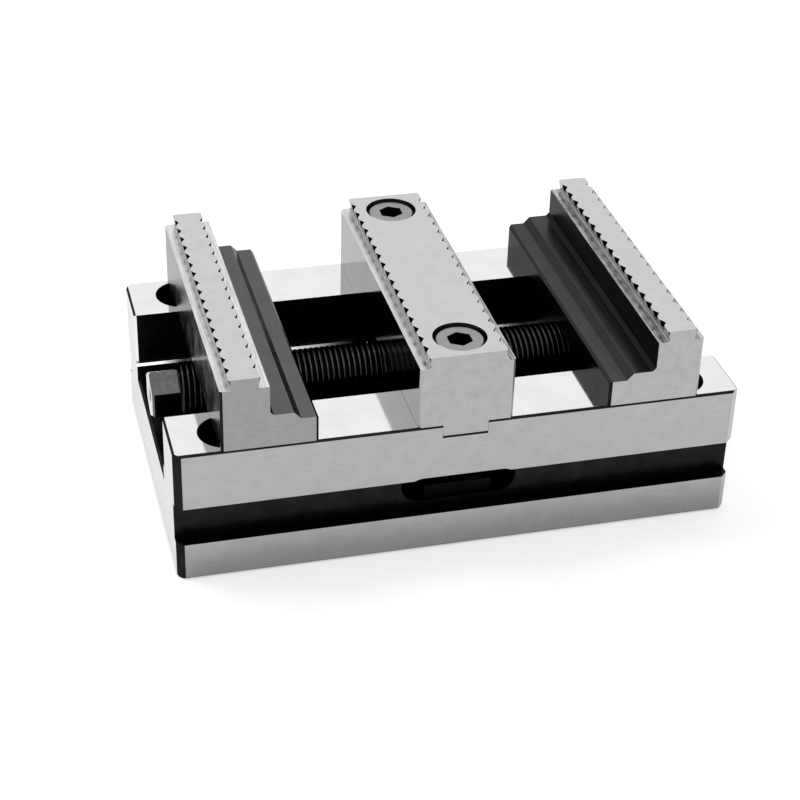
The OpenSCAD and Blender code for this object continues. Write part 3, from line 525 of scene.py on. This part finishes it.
def halfScrew(body, side):
    # rings from the middle of the neck to the centre hole. The left half mirrors the right
    # one, which makes its thread left-hand
    count = screw["around"]
    turns = [2 * math.pi * k / count for k in range(count)]

    def ring(points):
        spots = [(side * x, r * math.cos(t), r * math.sin(t) + screw["axisZ"])
                 for (x, r), t in zip(points, turns)]
        return [body.verts.new([value * mm for value in spot]) for spot in spots]

    def skin(first, second, finish):
        for k in range(count):
            nextK = (k + 1) % count
            face = body.faces.new([first[k], first[nextK], second[nextK], second[k]])
            face.material_index = finish

    inner = [(0, screw["neckR"]), (screw["neckHalf"] - screw["neckEdge"], screw["neckR"]),
             (screw["neckHalf"], screw["neckR"] + screw["neckEdge"]),
             (screw["neckHalf"], screw["shankR"] - screw["shankEdge"]),
             (screw["neckHalf"] + screw["shankEdge"], screw["shankR"]),
             (screw["threadIn"], screw["shankR"])]
    rings = [ring([spot] * count) for spot in inner]
    for first, second in zip(rings, rings[1:]):
        skin(first, second, shankFace)

    perTurn = len(threadTurn)
    wholeTurns = math.ceil((screw["threadOut"] - screw["threadIn"]) / screw["pitch"]) + 1
    rows = [ring([threadPoint(row, k) for k in range(count)]) for row in range(perTurn * wholeTurns + 1)]
    for row in range(len(rows) - 1):
        for k in range(count - 1):
            body.faces.new([rows[row][k], rows[row][k + 1], rows[row + 1][k + 1], rows[row + 1][k]])
        if row + perTurn + 1 < len(rows):  # the last step round joins the next turn
            body.faces.new([rows[row][-1], rows[row + perTurn][0], rows[row + perTurn + 1][0],
                            rows[row + 1][-1]])

    end = screw["end"]
    shrink = 1 - 2 * screw["hexEdge"] / screw["hexFlats"]
    outer = [[(screw["threadOut"], screw["threadR"] - screw["endEdge"])] * count,
             [(screw["threadOut"], hexRadius(t)) for t in turns],
             [(end - screw["hexEdge"], hexRadius(t)) for t in turns],
             [(end, hexRadius(t) * shrink) for t in turns],
             [(end, screw["mouthR"])] * count,
             [(end - screw["coneStart"], screw["coneR"])] * count,
             [(end - screw["pilotStart"], screw["pilotR"])] * count,
             [(end - screw["pilotEnd"], screw["pilotR"])] * count,
             [(end - screw["pilotEnd"] - screw["pilotR"] / 2, 0)] * count]
    rings = [ring(points) for points in outer]
    faces = (shankFace, hexFace, hexFace, endFace, endFace, shankFace, shankFace, shankFace)
    for first, second, finish in zip(rings, rings[1:], faces):
        skin(first, second, finish)


def makeScrew():
    mesh = bpy.data.meshes.new("leadScrewThreaded")
    body = bmesh.new()
    halfScrew(body, 1)
    halfScrew(body, -1)
    bmesh.ops.remove_doubles(body, verts=body.verts, dist=screw["merge"] * mm)
    bmesh.ops.recalc_face_normals(body, faces=body.faces)
    for face in body.faces:
        face.smooth = True
    body.to_mesh(mesh)
    body.free()
    mesh.set_sharp_from_angle(angle=math.radians(screw["sharpAngle"]))
    piece = bpy.data.objects.new("leadScrewThreaded", mesh)
    bpy.context.scene.collection.objects.link(piece)
    for name, look in (("temperedSteelRolledThread", threadFinish),
                       ("temperedSteelGroundShankPaintedShade", shankShadeFinish),
                       ("temperedSteelMilledHexagon", hexFinish), ("temperedSteelFacedEnd", hexEndFinish)):
        mesh.materials.append(screwFinish(name, look))
    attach(piece, "screw")
    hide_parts("lead_screw")


makeScrew()
print("vise: screw cut")


# Bench paper, light and camera

# the paper and the sky look brighter to the camera and in reflections than they light the vise
stage = {"dark": "#efefee", "light": "#f6f6f5", "paperGrain": 6, "size": 6000, "drop": 0.05,
         "glow": 0.42, "skyLight": 0.6}


def seenRays(tree):
    # rays that show the backdrop: straight from the camera, or off and through a surface
    rays = addNode(tree, "ShaderNodeLightPath", {})
    either = addNode(tree, "ShaderNodeMath", {"operation": "MAXIMUM"},
                     {0: rays.outputs["Is Camera Ray"], 1: rays.outputs["Is Glossy Ray"]})
    return addNode(tree, "ShaderNodeMath", {"operation": "MAXIMUM"},
                   {0: either.outputs[0], 1: rays.outputs["Is Transmission Ray"]}).outputs[0]


def makePaper():
    # uncoated white paper: matt, with a faint cloud in its pulp
    material, tree, shader, place = newFinish("paperUncoatedWhite", {"metallic": 0, "rough": 0.9})
    pulp = addNode(tree, "ShaderNodeTexNoise", {"Scale": 1 / (mm * stage["paperGrain"]), "Detail": 4},
                   {"Vector": place})
    tint = addNode(tree, "ShaderNodeMix", twoTones(stage), {0: pulp.outputs[0]})
    glow = addNode(tree, "ShaderNodeMath", {"operation": "MULTIPLY", 1: stage["glow"]},
                   {0: seenRays(tree)})
    tree.links.new(tint.outputs[2], shader.inputs["Base Color"])
    shader.inputs["Emission Color"].default_value = (1, 1, 1, 1)
    tree.links.new(glow.outputs[0], shader.inputs["Emission Strength"])
    half = stage["size"] / 2 * mm
    corners = [(-half, -half, 0), (half, -half, 0), (half, half, 0), (-half, half, 0)]
    mesh = bpy.data.meshes.new("paper")
    mesh.from_pydata(corners, [], [(0, 1, 2, 3)])
    mesh.materials.append(material)
    paper = bpy.data.objects.new("paper", mesh)
    paper.location.z = -stage["drop"] * mm
    bpy.context.scene.collection.objects.link(paper)


def makeSky():
    world = bpy.data.worlds.new("studio")
    bpy.context.scene.world = world
    world.use_nodes = True
    tree = world.node_tree
    tree.nodes.clear()
    strength = addNode(tree, "ShaderNodeMapRange", {"To Min": stage["skyLight"], "To Max": 1},
                       {"Value": seenRays(tree)})
    sky = addNode(tree, "ShaderNodeBackground", {"Color": (1, 1, 1, 1)}, {"Strength": strength.outputs[0]})
    addNode(tree, "ShaderNodeOutputWorld", {}, {"Surface": sky.outputs[0]})


lamps = {
    "windowBack": {"at": (-430, 320, 930), "size": 460, "watts": 2.2},
    "softboxFront": {"at": (110, -360, 1040), "size": 480, "watts": 0.8}}


def makeLamps():
    for name, lamp in lamps.items():
        light = bpy.data.lights.new(name, "AREA")
        light.shape = "SQUARE"
        light.size = lamp["size"] * mm
        light.energy = lamp["watts"]
        stand = bpy.data.objects.new(name, light)
        stand.location = Vector(lamp["at"]) * mm
        stand.rotation_euler = (-stand.location).to_track_quat("-Z", "Y").to_euler()
        bpy.context.scene.collection.objects.link(stand)


# place in mm, turn in degrees, fitted to the straight edges of the photographed vise
view = {"at": (-124.80, -441.93, 307.88), "turn": (57.6203, -1.4029, -14.2229), "lens": 87.709,
        "film": 36, "nearest": 10}


def makeCamera():
    camera = bpy.data.cameras.new("bench")
    camera.lens = view["lens"]
    camera.sensor_width = view["film"]
    camera.clip_start = view["nearest"] * mm
    camera.dof.use_dof = False
    stand = bpy.data.objects.new("bench", camera)
    stand.location = [value * mm for value in view["at"]]
    stand.rotation_euler = Euler([math.radians(angle) for angle in view["turn"]], "XYZ")
    bpy.context.scene.collection.objects.link(stand)
    bpy.context.scene.camera = stand


makePaper()
makeSky()
makeLamps()
makeCamera()
bpy.context.scene.view_settings.view_transform = "Standard"
print("vise: bench, light and camera set")
